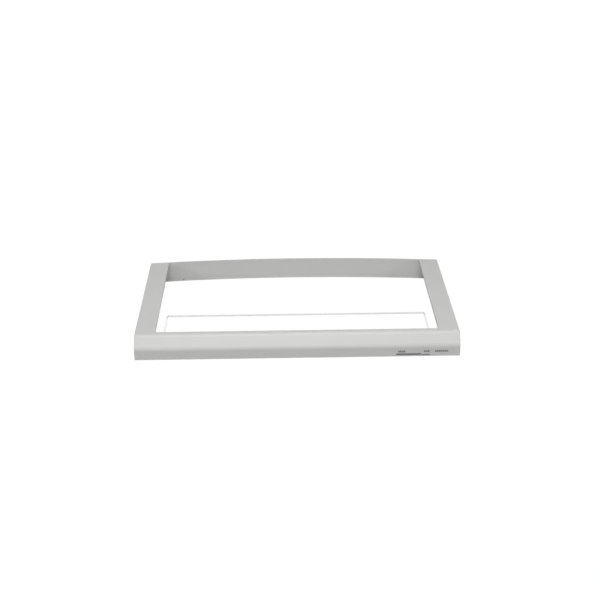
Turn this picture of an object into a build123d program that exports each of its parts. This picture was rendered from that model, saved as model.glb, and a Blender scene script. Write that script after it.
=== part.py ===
"""Refrigerator drawer front: a moulded grey frame with a rounded nose rail, and a clear pane behind it.

The front lies on its back, face up. +X runs along the nose rail, +Y from the nose to the bowed far wall,
and +Z out of the face. The origin is in the middle of the back plane. Millimetres throughout.
"""
from build123d import *
import math
import os

# Frame: overall sizes
width = 400.0
side_depth = 227.2
far_bow = 10.9
height = 28.7
wall = 2.5
rail_width = 25.1
far_corner_radius = 2.0
outer_edge_radius = 0.8
window_near_radius = 2.0
window_far_radius = 4.0
lip_thickness = 2.0
lip_draft = 15.0

# Nose rail: flat strip, bevel and front face, joined by two rounds
nose_depth = 18.6
bevel_run = 10.9
bevel_angle = 52.3
nose_top_radius = 6.5
nose_front_radius = 8.5

# Stiffening ribs inside the nose and gussets under the side rails
rib_thickness = 1.8
rib_pitch = 48.0
rib_setback = 1.2
gusset_reach = 14.0
gusset_drop = 16.0
gusset_pitch = 42.0

# Screw bosses under the side rails
boss_radius = 4.0
boss_shoulder_radius = 5.5
pilot_radius = 1.5
pilot_depth = 18.0
boss_inset = 9.5
boss_end_margin = 46.0

# Clear pane and the snap lugs that hold it
pane_thickness = 2.0
pane_base = 4.0
pane_gap = 0.4
pane_boss_gap = 0.3
recess_side_margin = 7.0
recess_front = 9.0
recess_back = 109.4
recess_drop = 2.0
recess_corner_radius = 1.0
lug_length = 14.0
lug_reach = 1.5
lug_height = 2.4
nose_lug_pitch = 110.0
side_lug_pitch = 92.0

# Places worked out from the sizes above
front_y = -(side_depth + far_bow) / 2
corner_y = front_y + side_depth
window_y = front_y + nose_depth
inner_half = width / 2 - rail_width
skirt_x = width / 2 - wall
arc_radius = (width ** 2 / 4 + far_bow ** 2) / (2 * far_bow)
arc_centre_y = corner_y + far_bow - arc_radius
pane_top = pane_base + pane_thickness
boss_x = width / 2 - boss_inset
boss_ys = (front_y + boss_end_margin, corner_y - boss_end_margin)
clear_of_part = 10.0


def plan_outline(inset):
    """Outline seen from the face, moved in by inset: three straight sides and the far side bowed outwards."""
    half = width / 2 - inset
    near = front_y + inset
    radius = arc_radius - inset
    far_corner = arc_centre_y + math.sqrt(radius ** 2 - half ** 2)
    far_edge = ThreePointArc((half, far_corner), (0, arc_centre_y + radius), (-half, far_corner))
    straight_edges = Polyline((-half, far_corner), (-half, near), (half, near), (half, far_corner))
    return make_face(Curve() + [far_edge, straight_edges])


def side_profile(bottom):
    """Section across the nose rail in the YZ plane, run on past the far wall, down to the given height."""
    bevel_foot = height - bevel_run * math.tan(math.radians(bevel_angle))
    past_far = corner_y + far_bow + clear_of_part
    corners = [
        (front_y, bottom),
        (front_y, bevel_foot),
        (front_y + bevel_run, height),
        (past_far, height),
        (past_far, bottom),
    ]
    profile = make_face(Polyline(*corners, close=True))
    foot = profile.vertices().filter_by(lambda v: abs(v.Y - bevel_foot) < 1e-6)
    profile = fillet(foot, nose_front_radius)
    crest = profile.vertices().filter_by(lambda v: abs(v.X - front_y - bevel_run) < 1e-6 and v.Y > bevel_foot)
    return fillet(crest, nose_top_radius)


def across_width(profile, thickness, x=0.0):
    """Extrudes a YZ profile along X, centred on x."""
    return Pos(x, 0, 0) * extrude(Plane.YZ * profile, amount=thickness / 2, both=True)


def outer_block():
    """The frame's outside form, before it is hollowed from the back."""
    outline = plan_outline(0)
    outline = fillet(outline.vertices().group_by(Axis.Y)[-1], far_corner_radius)
    return across_width(side_profile(0), width) & extrude(outline, amount=height)


def cavity():
    """The hollow that leaves an even wall, open at the back."""
    upright = Pos(0, 0, -wall) * extrude(plan_outline(wall), amount=height)
    section = offset(side_profile(-clear_of_part), -wall)
    return across_width(section, width) & upright


def window_outline():
    """Outline of the opening: straight at the nose and the rails, and along the far wall's inner side."""
    opening_depth = side_depth + far_bow
    opening = Pos(0, window_y + opening_depth / 2) * Rectangle(2 * inner_half, opening_depth)
    opening = fillet(opening.vertices().group_by(Axis.Y)[0], window_near_radius)
    opening = opening & plan_outline(wall)
    return fillet(opening.vertices().group_by(Axis.Y)[-1], window_far_radius)


def window_cut():
    return extrude(window_outline(), amount=height + clear_of_part)


def flared(outline):
    """Solid from inside the face down to the pane, wider at its foot by the lip's draft."""
    top = height - wall / 2
    return Pos(0, 0, top) * extrude(outline, amount=top - pane_top, dir=(0, 0, -1), taper=-lip_draft)


def window_lip():
    """Lip that turns down round the opening, with draft. Its foot bears on the clear pane."""
    outline = window_outline()
    return flared(offset(outline, lip_thickness)) - flared(outline)


def centred(count, pitch):
    """Evenly pitched places, centred on zero."""
    return [(i - (count - 1) / 2) * pitch for i in range(count)]


def nose_ribs():
    """Cross ribs between the nose's front and the lip. Their lower edges bear on the clear pane."""
    reach = nose_depth - rib_setback
    keep = Pos(front_y + reach / 2, (pane_top + height) / 2) * Rectangle(reach, height - pane_top)
    section = side_profile(0) & keep
    count = int((width - 2 * rail_width) // rib_pitch) + 1
    opening = flared(window_outline())
    return [across_width(section, rib_thickness, x) - opening for x in centred(count, rib_pitch)]


def rail_gussets():
    """Triangular gussets between each side skirt and the underside of its rail."""
    run = boss_ys[1] - boss_ys[0]
    count = int(run // gusset_pitch)
    middle = (boss_ys[0] + boss_ys[1]) / 2
    root_x = width / 2 - wall / 2
    root_z = height - wall / 2
    corners = [(root_x, root_z), (root_x - gusset_reach, root_z), (root_x, root_z - gusset_drop)]
    triangle = make_face(Polyline(*corners, close=True))
    gussets = []
    for y in centred(count, gusset_pitch):
        right = Pos(0, middle + y, 0) * extrude(Plane.XZ * triangle, amount=rib_thickness / 2, both=True)
        gussets += [right, mirror(right, Plane.YZ)]
    return gussets


def boss_places():
    return [Pos(side * boss_x, y, 0) for side in (-1, 1) for y in boss_ys]


def screw_bosses():
    """Stepped bosses under the rails: shoulders bear on the pane, spigots reach the back plane."""
    top = height - wall / 2
    shoulder = Pos(0, 0, (pane_top + top) / 2) * Cylinder(boss_shoulder_radius, top - pane_top)
    spigot = Pos(0, 0, top / 2) * Cylinder(boss_radius, top)
    return [place * (shoulder + spigot) for place in boss_places()]


def pilot_holes():
    """Blind holes for self-tapping screws, from the back plane up into each boss."""
    hole = Pos(0, 0, pilot_depth / 2) * Cylinder(pilot_radius, pilot_depth)
    return [place * hole for place in boss_places()]


def snap_lug():
    """A wedge along X that stands out towards -Y, with its flat side up under the pane."""
    root = wall / 2
    foot = pane_base - lug_height
    corners = [(root, pane_base), (-lug_reach, pane_base), (0, foot), (root, foot)]
    return across_width(make_face(Polyline(*corners, close=True)), lug_length)


def snap_lugs():
    """Lugs on the inner sides of the nose and both skirts, out of sight from the face."""
    middle = (front_y + corner_y) / 2
    side_lug = Rot(0, 0, -90) * snap_lug()
    nose_lug = Rot(0, 0, 180) * snap_lug()
    lugs = [Pos(x, front_y + wall, 0) * nose_lug for x in centred(3, nose_lug_pitch)]
    for y in centred(3, side_lug_pitch):
        right = Pos(skirt_x, middle + y, 0) * side_lug
        lugs += [right, mirror(right, Plane.YZ)]
    return lugs


def rounded_block():
    """The outside form with its top rim and the two ends of the nose rounded."""
    block = outer_block()
    top_rim = block.edges().group_by(Axis.Z)[-1].filter_by(Axis.X, reverse=True)
    on_end = block.edges().filter_by(lambda e: all(abs(abs(v.X) - width / 2) < 1e-6 for v in e.vertices()))
    near = on_end.filter_by(lambda e: e.center().Y < window_y and e.center().Z > 1e-6)
    return fillet(ShapeList(set(top_rim + near)), outer_edge_radius)


def drawer_frame():
    """The one-piece moulded frame."""
    block = rounded_block()
    shell = block - cavity() - window_cut()
    stiffeners = [piece & block for piece in nose_ribs() + rail_gussets() + [window_lip()]]
    return shell + stiffeners + screw_bosses() + snap_lugs() - pilot_holes()


def clear_pane():
    """The clear sheet behind the window, with a shallow recessed field beside the nose."""
    sheet = Pos(0, 0, pane_base) * extrude(plan_outline(wall + pane_gap), amount=pane_thickness)
    recess_middle = front_y + (recess_front + recess_back) / 2
    recess_width = 2 * (inner_half - recess_side_margin)
    recess_depth = recess_back - recess_front
    field = Pos(0, recess_middle) * RectangleRounded(recess_width, recess_depth, recess_corner_radius)
    dish = Pos(0, 0, pane_base - recess_drop) * extrude(offset(field, pane_thickness), amount=pane_thickness)
    hollow = Pos(0, 0, pane_top - recess_drop) * extrude(field, amount=recess_drop)
    hole_radius = boss_radius + pane_boss_gap
    hole = Pos(0, 0, pane_base + pane_thickness / 2) * Cylinder(hole_radius, 2 * pane_thickness)
    return sheet + dish - hollow - [place * hole for place in boss_places()]


def write_parts(nodes):
    os.makedirs("parts", exist_ok=True)
    for name, shape in nodes.items():
        solids = shape.solids()
        export_step(solids[0] if len(solids) == 1 else Compound(solids), f"parts/{name}.step")
        print(name, len(solids), "solid", round(shape.volume / 1000, 1), "cm3")


write_parts({"drawer_frame": drawer_frame(), "clear_pane": clear_pane()})
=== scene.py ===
"""Looks for the refrigerator drawer front: grey moulding, clear pane, printed scale, studio and camera."""
import math

import bmesh
import bpy
from mathutils import Matrix, Vector


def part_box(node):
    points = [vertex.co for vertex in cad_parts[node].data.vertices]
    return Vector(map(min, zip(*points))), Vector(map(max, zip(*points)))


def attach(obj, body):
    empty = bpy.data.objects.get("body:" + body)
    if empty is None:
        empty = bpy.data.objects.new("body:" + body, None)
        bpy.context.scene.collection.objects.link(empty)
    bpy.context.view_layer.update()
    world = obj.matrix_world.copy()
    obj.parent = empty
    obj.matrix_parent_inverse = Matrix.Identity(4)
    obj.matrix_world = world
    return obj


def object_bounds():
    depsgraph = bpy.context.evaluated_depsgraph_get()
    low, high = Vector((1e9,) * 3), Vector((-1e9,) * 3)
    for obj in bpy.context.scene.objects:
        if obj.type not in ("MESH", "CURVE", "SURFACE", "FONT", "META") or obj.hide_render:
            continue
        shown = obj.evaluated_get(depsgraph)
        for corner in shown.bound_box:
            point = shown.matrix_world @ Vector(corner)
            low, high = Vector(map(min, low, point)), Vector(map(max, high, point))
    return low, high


MM = 0.001

# Camera: the photograph's view. Place in metres, angles in degrees, sensor width in millimetres
CAMERA_PLACE = (-0.0203, -1.33385, 0.6717)
CAMERA_DOWN = 26.0
CAMERA_TURN = -1.112
CAMERA_ROLL = -0.31
FOCAL_PIXELS = 1128.0
FRAME_PIXELS = 600.0
SENSOR = 36.0

# Printed bars on the lower face of the nose: left, right, bottom and top in millimetres
SCALE_BARS = {
    "scale_bar_long": (121.3, 152.0, 1.8, 4.1),
    "scale_bar_short": (152.9, 163.0, 1.5, 2.9),
}

# Printed rows of ticks above the bars: left and right in millimetres, and how many ticks
SCALE_TICKS = {
    "scale_ticks_left": (123.5, 132.3, 4),
    "scale_ticks_middle": (155.5, 162.0, 3),
    "scale_ticks_right": (169.0, 185.0, 7),
}
TICK_BOTTOM = 5.4
TICK_TOP = 8.2
TICK_WIDTH = 1.75
INK_THICKNESS = 0.04
INK_CORNER = 0.25
INK_CORNER_STEPS = 3

# Moulded grain: detail of its two noises, strength of its bump, and the part of a noise that tones run over
GRAIN_DETAIL = 3.0
GRAIN_ROUGHNESS = 0.6
CLOUD_SCALE = 14.0
CLOUD_DETAIL = 2.0
BUMP_STRENGTH = 0.35
NOISE_SPREAD = (0.3, 0.7)

# Grey moulding: grain's scale and its depth in metres, darkest and lightest tone, and gloss
MOULDING_GRAIN = (1500.0, 0.00004)
MOULDING_TONES = ((0.546, 0.545, 0.540), (0.554, 0.553, 0.548))
MOULDING_ROUGHNESS = (0.40, 0.46)
MOULDING_SPECULAR = 0.42

# Speck of dirt at the foot of the far wall: place, core and soft edge in millimetres, and share of tone left
SPECK_PLACE = (-156.2, 109.9, 2.1)
SPECK_CORE = 0.7
SPECK_EDGE = 1.05
SPECK_TONE_LEFT = 0.04

# Clear pane: grain's scale and its depth in metres, tones of upright and level faces (painted shade: upright
# faces grey, level faces pale), gloss and opacity
PANE_GRAIN = (60.0, 0.00002)
PANE_TONES_SHADED_BY_FACING = ((0.52, 0.53, 0.53), (0.90, 0.92, 0.92))
PANE_SHADE_SPREAD_BY_FACING = (0.2, 0.8)
PANE_ROUGHNESS = 0.08
PANE_IOR = 1.49
PANE_OPACITY = 0.02

# Step round the pane's recessed field: opacity facing along Y and along X, and where in Y it fades, in metres
STEP_OPACITY_ALONG_Y = 0.34
STEP_OPACITY_ALONG_X = 0.65
STEP_FADE_START = 0.02
STEP_FADE_END = 0.04

# Print: grain's scale and its depth in metres, darkest and lightest tone, and gloss
INK_GRAIN = (2600.0, 0.00001)
INK_TONES = ((0.150, 0.150, 0.153), (0.180, 0.180, 0.183))
INK_ROUGHNESS = 0.55

# Studio: floor's half width in metres, its tone for light, the camera's white, and the light from all round
FLOOR_HALF = 40.0
FLOOR_TONE = (0.42, 0.42, 0.42, 1.0)
FLOOR_ROUGHNESS = 0.9
WHITE_GLOW = 1.02
WORLD_STRENGTH = 0.05

# Area lights: azimuth and elevation in degrees, distance, width and height in metres, and power in watts
STUDIO_LIGHTS = {
    "key_front": (-4.0, 31.0, 2.4, 1.5, 2.6, 21.9),
    "top_soft": (-4.0, 74.0, 1.4, 1.1, 0.8, 13.2),
    "fill_left": (-65.0, 22.5, 2.4, 0.12, 0.12, 11.3),
    "fill_right": (65.0, 22.5, 2.4, 0.5, 0.5, 11.2),
    "back_left": (-140.0, 28.0, 2.4, 1.2, 1.2, 7.0),
    "back_right": (140.0, 28.0, 2.4, 1.2, 1.2, 7.0),
}


def grain_group():
    """Node group for moulded plastic: a fine grain height and a soft, cloudy tone."""
    group = bpy.data.node_groups.new("moulded_grain", "ShaderNodeTree")
    group.interface.new_socket("Grain Scale", in_out="INPUT", socket_type="NodeSocketFloat")
    group.interface.new_socket("Height", in_out="OUTPUT", socket_type="NodeSocketFloat")
    group.interface.new_socket("Cloud", in_out="OUTPUT", socket_type="NodeSocketFloat")
    nodes, links = group.nodes, group.links
    entry = nodes.new("NodeGroupInput")
    leave = nodes.new("NodeGroupOutput")
    place = nodes.new("ShaderNodeTexCoord")
    grain = nodes.new("ShaderNodeTexNoise")
    grain.inputs["Detail"].default_value = GRAIN_DETAIL
    grain.inputs["Roughness"].default_value = GRAIN_ROUGHNESS
    cloud = nodes.new("ShaderNodeTexNoise")
    cloud.inputs["Scale"].default_value = CLOUD_SCALE
    cloud.inputs["Detail"].default_value = CLOUD_DETAIL
    links.new(place.outputs["Object"], grain.inputs["Vector"])
    links.new(place.outputs["Object"], cloud.inputs["Vector"])
    links.new(entry.outputs["Grain Scale"], grain.inputs["Scale"])
    links.new(grain.outputs["Fac"], leave.inputs["Height"])
    links.new(cloud.outputs["Fac"], leave.inputs["Cloud"])
    return group


def new_material(name):
    """A material with its nodes, links and Principled shader."""
    material = bpy.data.materials.new(name)
    material.use_nodes = True
    tree = material.node_tree
    return material, tree.nodes, tree.links, tree.nodes["Principled BSDF"]


def add_grain(nodes, links, shader, group, scale, depth):
    """Places the grain group in a material and bends its normals with it."""
    grain = nodes.new("ShaderNodeGroup")
    grain.node_tree = group
    grain.inputs["Grain Scale"].default_value = scale
    bump = nodes.new("ShaderNodeBump")
    bump.inputs["Strength"].default_value = BUMP_STRENGTH
    bump.inputs["Distance"].default_value = depth
    links.new(grain.outputs["Height"], bump.inputs["Height"])
    links.new(bump.outputs["Normal"], shader.inputs["Normal"])
    return grain


def ramp_between(nodes, links, source, tones, spread):
    """A colour ramp from the first tone to the second, over the given spread of the source."""
    ramp = nodes.new("ShaderNodeValToRGB")
    for stop, tone, position in zip(ramp.color_ramp.elements, tones, spread):
        stop.position = position
        stop.color = (*tone, 1.0)
    links.new(source, ramp.inputs["Fac"])
    return ramp.outputs["Color"]


def map_range(nodes, links, source, from_min=0.0, from_max=1.0, to_min=0.0, to_max=1.0):
    """A Map Range node on a source value."""
    ranged = nodes.new("ShaderNodeMapRange")
    ranged.inputs["From Min"].default_value = from_min
    ranged.inputs["From Max"].default_value = from_max
    ranged.inputs["To Min"].default_value = to_min
    ranged.inputs["To Max"].default_value = to_max
    links.new(source, ranged.inputs["Value"])
    return ranged


def axes_of(nodes, links, vector):
    """The X, Y and Z of a vector, as outputs by name."""
    split = nodes.new("ShaderNodeSeparateXYZ")
    links.new(vector, split.inputs["Vector"])
    return split.outputs


def without_sign(nodes, links, source):
    """The size of a value, whatever its sign."""
    size = nodes.new("ShaderNodeMath")
    size.operation = "ABSOLUTE"
    links.new(source, size.inputs[0])
    return size.outputs["Value"]


def with_speck(nodes, links, tone):
    """Darkens a tone at the speck of dirt on the far wall."""
    place = nodes.new("ShaderNodeTexCoord")
    reach = nodes.new("ShaderNodeVectorMath")
    reach.operation = "DISTANCE"
    reach.inputs[1].default_value = [length * MM for length in SPECK_PLACE]
    links.new(place.outputs["Object"], reach.inputs[0])
    core, edge = SPECK_CORE * MM, SPECK_EDGE * MM
    fade = map_range(nodes, links, reach.outputs["Value"], core, edge, to_min=SPECK_TONE_LEFT)
    shade = nodes.new("ShaderNodeVectorMath")
    shade.operation = "SCALE"
    links.new(tone, shade.inputs["Vector"])
    links.new(fade.outputs["Result"], shade.inputs["Scale"])
    return shade.outputs["Vector"]


def grey_moulding(group):
    """Satin grey plastic of the frame, with its one speck of dirt."""
    material, nodes, links, shader = new_material("grey_moulding")
    cloud = add_grain(nodes, links, shader, group, *MOULDING_GRAIN).outputs["Cloud"]
    tone = ramp_between(nodes, links, cloud, MOULDING_TONES, NOISE_SPREAD)
    links.new(with_speck(nodes, links, tone), shader.inputs["Base Color"])
    smoothest, roughest = MOULDING_ROUGHNESS
    gloss = map_range(nodes, links, cloud, to_min=smoothest, to_max=roughest)
    links.new(gloss.outputs["Result"], shader.inputs["Roughness"])
    shader.inputs["Specular IOR Level"].default_value = MOULDING_SPECULAR
    return material


def pane_opacity(nodes, links, facing, level):
    """Opacity of the pane: greyer on the upright step of its field, and clear past it and on level faces."""
    along_x = without_sign(nodes, links, facing["X"])
    step = map_range(nodes, links, along_x, to_min=STEP_OPACITY_ALONG_Y, to_max=STEP_OPACITY_ALONG_X)
    place = nodes.new("ShaderNodeTexCoord")
    depth = axes_of(nodes, links, place.outputs["Object"])["Y"]
    upright = map_range(nodes, links, depth, STEP_FADE_START, STEP_FADE_END, to_max=PANE_OPACITY)
    links.new(step.outputs["Result"], upright.inputs["To Min"])
    opacity = map_range(nodes, links, level, to_max=PANE_OPACITY)
    links.new(upright.outputs["Result"], opacity.inputs["To Min"])
    return opacity.outputs["Result"]


def clear_plastic(group):
    """Clear plastic of the pane, with painted shade: its upright faces are toned greyer than its level ones.
    """
    material, nodes, links, shader = new_material("clear_plastic")
    add_grain(nodes, links, shader, group, *PANE_GRAIN)
    surface = nodes.new("ShaderNodeNewGeometry")
    facing = axes_of(nodes, links, surface.outputs["True Normal"])
    level = without_sign(nodes, links, facing["Z"])
    links.new(pane_opacity(nodes, links, facing, level), shader.inputs["Alpha"])
    # Painted shade: the tone runs from grey on upright faces to pale on level faces, by how level each face
    # is
    tone = ramp_between(nodes, links, level, PANE_TONES_SHADED_BY_FACING, PANE_SHADE_SPREAD_BY_FACING)
    links.new(tone, shader.inputs["Base Color"])
    shader.inputs["Roughness"].default_value = PANE_ROUGHNESS
    shader.inputs["IOR"].default_value = PANE_IOR
    return material


def scale_ink(group):
    """Grey print of the scale."""
    material, nodes, links, shader = new_material("scale_ink")
    height = add_grain(nodes, links, shader, group, *INK_GRAIN).outputs["Height"]
    tone = ramp_between(nodes, links, height, INK_TONES, NOISE_SPREAD)
    links.new(tone, shader.inputs["Base Color"])
    shader.inputs["Roughness"].default_value = INK_ROUGHNESS
    return material


def white_to_camera(nodes, links, lit, surface):
    """Joins a shader to a surface for all rays but the camera's own, which see an even white there."""
    glow = nodes.new("ShaderNodeEmission")
    glow.inputs["Strength"].default_value = WHITE_GLOW
    seen = nodes.new("ShaderNodeLightPath")
    blend = nodes.new("ShaderNodeMixShader")
    links.new(seen.outputs["Is Camera Ray"], blend.inputs["Fac"])
    links.new(lit, blend.inputs[1])
    links.new(glow.outputs["Emission"], blend.inputs[2])
    links.new(blend.outputs["Shader"], surface)


def floor_white():
    """Plain white floor, with a dim bounce for the light that falls on the frame."""
    material, nodes, links, shader = new_material("floor_white")
    shader.inputs["Base Color"].default_value = FLOOR_TONE
    shader.inputs["Roughness"].default_value = FLOOR_ROUGHNESS
    shader.inputs["Specular IOR Level"].default_value = 0.0
    white_to_camera(nodes, links, shader.outputs["BSDF"], nodes["Material Output"].inputs["Surface"])
    return material


def printed_patch(name, rectangles, face_y, material):
    """Thin print on the nose's lower face, from rectangles of left, right, bottom and top in millimetres."""
    mesh = bpy.data.meshes.new(name)
    shape = bmesh.new()
    rounding = INK_CORNER * MM
    for left, right, bottom, top in rectangles:
        across = [(left, bottom), (right, bottom), (right, top), (left, top)]
        corners = [shape.verts.new((x * MM, face_y, z * MM)) for x, z in across]
        shape.faces.new(corners)
        bmesh.ops.bevel(shape, geom=corners, offset=rounding, segments=INK_CORNER_STEPS, affect="VERTICES")
    shape.faces.ensure_lookup_table()
    raised = bmesh.ops.extrude_face_region(shape, geom=shape.faces[:])
    moved = [item for item in raised["geom"] if isinstance(item, bmesh.types.BMVert)]
    bmesh.ops.translate(shape, vec=(0.0, -INK_THICKNESS * MM, 0.0), verts=moved)
    bmesh.ops.recalc_face_normals(shape, faces=shape.faces[:])
    shape.to_mesh(mesh)
    shape.free()
    mesh.materials.append(material)
    piece = bpy.data.objects.new(name, mesh)
    bpy.context.collection.objects.link(piece)
    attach(piece, "root")


def tick_row(left, right, count):
    """Even upright ticks between left and right."""
    pitch = (right - left - TICK_WIDTH) / (count - 1)
    starts = [left + i * pitch for i in range(count)]
    return [(start, start + TICK_WIDTH, TICK_BOTTOM, TICK_TOP) for start in starts]


def print_scale(face_y, material):
    """All printed marks at the right end of the nose."""
    for name, bar in SCALE_BARS.items():
        printed_patch(name, [bar], face_y, material)
    for name, (left, right, count) in SCALE_TICKS.items():
        printed_patch(name, tick_row(left, right, count), face_y, material)


def paint(node, material):
    """Gives a CAD node its finish."""
    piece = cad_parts[node]
    piece.data.materials.clear()
    piece.data.materials.append(material)


def lay_floor(level):
    """Plain square floor at the given height."""
    mesh = bpy.data.meshes.new("studio_floor")
    signs = ((-1, -1), (1, -1), (1, 1), (-1, 1))
    corners = [(x * FLOOR_HALF, y * FLOOR_HALF, level) for x, y in signs]
    mesh.from_pydata(corners, [], [(0, 1, 2, 3)])
    mesh.materials.append(floor_white())
    floor = bpy.data.objects.new("studio_floor", mesh)
    bpy.context.collection.objects.link(floor)


def soft_light(name, azimuth, elevation, distance, width, height, power):
    """Area light aimed at the frame. Azimuth 0 is the photograph's side, and 90 is the frame's right."""
    turn = math.radians(azimuth)
    rise = math.radians(elevation)
    aim = Vector((math.sin(turn) * math.cos(rise), -math.cos(turn) * math.cos(rise), math.sin(rise)))
    lamp = bpy.data.lights.new(name, "AREA")
    lamp.shape = "RECTANGLE"
    lamp.size = width
    lamp.size_y = height
    lamp.energy = power
    holder = bpy.data.objects.new(name, lamp)
    holder.location = aim * distance
    holder.rotation_euler = aim.to_track_quat("Z", "Y").to_euler()
    bpy.context.collection.objects.link(holder)


def light_studio():
    """Soft light from the front and above, small fills from both sides, and weak light from behind."""
    for name, values in STUDIO_LIGHTS.items():
        soft_light(name, *values)


def surround_white():
    """Dim even light from all round, which the camera sees as the floor's white past the floor's far edge."""
    world = bpy.data.worlds.new("studio_world")
    world.use_nodes = True
    nodes, links = world.node_tree.nodes, world.node_tree.links
    dim = nodes["Background"]
    dim.inputs["Color"].default_value = (1.0, 1.0, 1.0, 1.0)
    dim.inputs["Strength"].default_value = WORLD_STRENGTH
    white_to_camera(nodes, links, dim.outputs["Background"], nodes["World Output"].inputs["Surface"])
    bpy.context.scene.world = world


def place_camera():
    """The photograph's camera: place, downward tilt, turn about the vertical, and roll."""
    lens = bpy.data.cameras.new("photo_camera")
    lens.sensor_width = SENSOR
    lens.lens = FOCAL_PIXELS / FRAME_PIXELS * SENSOR
    down = math.radians(CAMERA_DOWN)
    turn = Matrix.Rotation(math.radians(CAMERA_TURN), 3, "Z")
    ahead = turn @ Vector((0.0, math.cos(down), -math.sin(down)))
    above = turn @ Vector((0.0, math.sin(down), math.cos(down)))
    right = ahead.cross(above)
    roll = math.radians(CAMERA_ROLL)
    rolled_right = right * math.cos(roll) + above * math.sin(roll)
    rolled_above = above * math.cos(roll) - right * math.sin(roll)
    holder = bpy.data.objects.new("photo_camera", lens)
    facing = Matrix((rolled_right, rolled_above, -ahead)).transposed().to_4x4()
    holder.matrix_world = Matrix.Translation(CAMERA_PLACE) @ facing
    bpy.context.collection.objects.link(holder)
    bpy.context.scene.camera = holder


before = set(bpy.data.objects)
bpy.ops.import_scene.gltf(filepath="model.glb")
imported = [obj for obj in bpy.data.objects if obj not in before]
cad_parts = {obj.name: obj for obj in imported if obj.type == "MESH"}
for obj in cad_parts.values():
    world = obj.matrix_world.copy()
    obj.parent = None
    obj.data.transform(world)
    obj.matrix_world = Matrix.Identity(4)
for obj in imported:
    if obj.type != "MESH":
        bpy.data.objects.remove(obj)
cad_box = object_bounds()
nose_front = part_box("drawer_frame")[0][1]

grain = grain_group()
paint("drawer_frame", grey_moulding(grain))
paint("clear_pane", clear_plastic(grain))
print_scale(nose_front, scale_ink(grain))
lay_floor(cad_box[0][2])
light_studio()
surround_white()
place_camera()
bpy.context.scene.view_settings.view_transform = "Standard"
